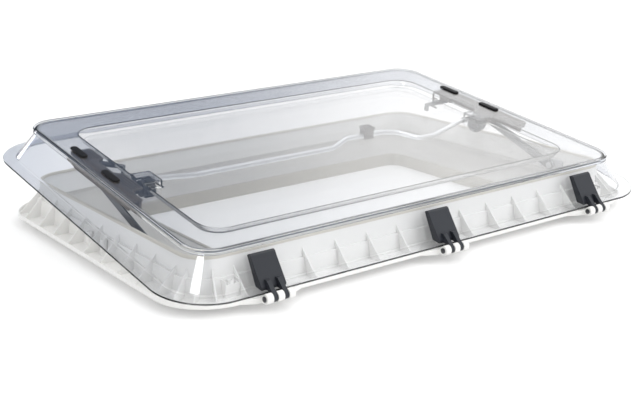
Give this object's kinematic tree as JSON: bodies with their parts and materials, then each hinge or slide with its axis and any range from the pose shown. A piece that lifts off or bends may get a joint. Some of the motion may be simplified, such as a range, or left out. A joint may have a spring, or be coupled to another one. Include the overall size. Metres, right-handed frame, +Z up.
{
  "type": "roof window",
  "caption": "Caravan roof window: a ribbed base frame and a clear double dome on a long-side hinge, with side brackets, coupled support arms and an operating bow.",
  "frame": {"origin": "centre of the four corner screw holes, on the flange's underside, where it meets the roof", "axes": "+X along the long side, +Z up and out of the roof; the hinges are on the -Y side"},
  "size_m": [1.1012, 0.8011, 0.2009],
  "materials": {
    "white_moulding": "satin white moulding",
    "liner_plastic": "fine-grained warm grey",
    "lip_trim": "beige trim",
    "seal_rubber": "pale seal",
    "bead_rubber": "grey bead",
    "tinted_acrylic": "clear, faint cool tint",
    "clear_acrylic": "clear",
    "dark_plastic": "dark grey, fine grain",
    "black_plastic": "near black, satin",
    "cap_plastic": "black caps",
    "slate_plastic": "slate grey",
    "roller_plastic": "natural nylon",
    "arm_metal": "dark coated steel",
    "satin_tube": "satin drawn tube",
    "stainless_pin": "turned",
    "zinc_steel": "zinc plated"
  },
  "bodies": {
    "root": {"base_frame": "white_moulding", "collar_seal": "seal_rubber", "inner_liner": "liner_plastic", "liner_lip": "lip_trim", "left_hinge_pin": "stainless_pin", "middle_hinge_pin": "stainless_pin", "right_hinge_pin": "stainless_pin", "left_arm_pivot": "zinc_steel", "right_arm_pivot": "zinc_steel"},
    "dome": {"bow_clip": "dark_plastic", "hinge_screws": "zinc_steel", "inner_pane": "clear_acrylic", "left_bracket_screws": "zinc_steel", "left_hinge_block": "slate_plastic", "left_knob_bolt": "zinc_steel", "left_lever_screw": "zinc_steel", "left_oval_caps": "cap_plastic", "left_side_bracket": "dark_plastic", "middle_hinge_block": "slate_plastic", "outer_pane": "tinted_acrylic", "pane_edge_seal": "bead_rubber", "right_bracket_screws": "zinc_steel", "right_hinge_block": "slate_plastic", "right_knob_bolt": "zinc_steel", "right_lever_screw": "zinc_steel", "right_oval_caps": "cap_plastic", "right_side_bracket": "dark_plastic"},
    "left_arm": {"left_support_arm": "arm_metal", "left_arm_roller": "roller_plastic"},
    "right_arm": {"right_support_arm": "arm_metal", "right_arm_roller": "roller_plastic"},
    "bow": {"operating_bow": "satin_tube", "left_bow_end": "black_plastic", "right_bow_end": "black_plastic"},
    "left_knob": {"left_star_knob": "black_plastic"},
    "right_knob": {"right_star_knob": "black_plastic"},
    "left_lever": {"left_release_lever": "black_plastic"},
    "right_lever": {"right_release_lever": "black_plastic"}
  },
  "joints": [
    {"name": "dome_hinge", "type": "hinge", "parent": "root", "child": "dome", "pos_m": [0, -0.4051, 0.0098], "axis": [1, 0, 0], "range_deg": [-8.3, 46.7]},
    {"name": "left_arm_pivot", "type": "hinge", "parent": "root", "child": "left_arm", "pos_m": [-0.4695, -0.1877, 0.036], "axis": [1, 0, 0], "range_deg": [-14.9, 83.6]},
    {"name": "right_arm_pivot", "type": "hinge", "parent": "root", "child": "right_arm", "pos_m": [0.4695, -0.1877, 0.036], "axis": [1, 0, 0], "range_deg": [-14.9, 83.6]},
    {"name": "bow_swing", "type": "hinge", "parent": "dome", "child": "bow", "pos_m": [0, -0.02518, 0.10787], "axis": [1, 0, 0], "range_deg": [-35, 0]},
    {"name": "left_knob_turn", "type": "hinge", "parent": "dome", "child": "left_knob", "pos_m": [-0.409, -0.02518, 0.10787], "axis": [1, 0, 0], "continuous": true},
    {"name": "right_knob_turn", "type": "hinge", "parent": "dome", "child": "right_knob", "pos_m": [0.409, -0.02518, 0.10787], "axis": [1, 0, 0], "continuous": true},
    {"name": "left_lever_swing", "type": "hinge", "parent": "dome", "child": "left_lever", "pos_m": [-0.441, 0.11893, 0.13142], "axis": [0, -0.1444, 0.9895], "range_deg": [-5, 45]},
    {"name": "right_lever_swing", "type": "hinge", "parent": "dome", "child": "right_lever", "pos_m": [0.441, 0.11893, 0.13142], "axis": [0, -0.1444, 0.9895], "range_deg": [-5, 45]}
  ],
  "couplings": [
    {"joint": "left_arm_pivot", "follows": "dome_hinge", "ratio": 1.79},
    {"joint": "right_arm_pivot", "follows": "dome_hinge", "ratio": 1.79}
  ]
}
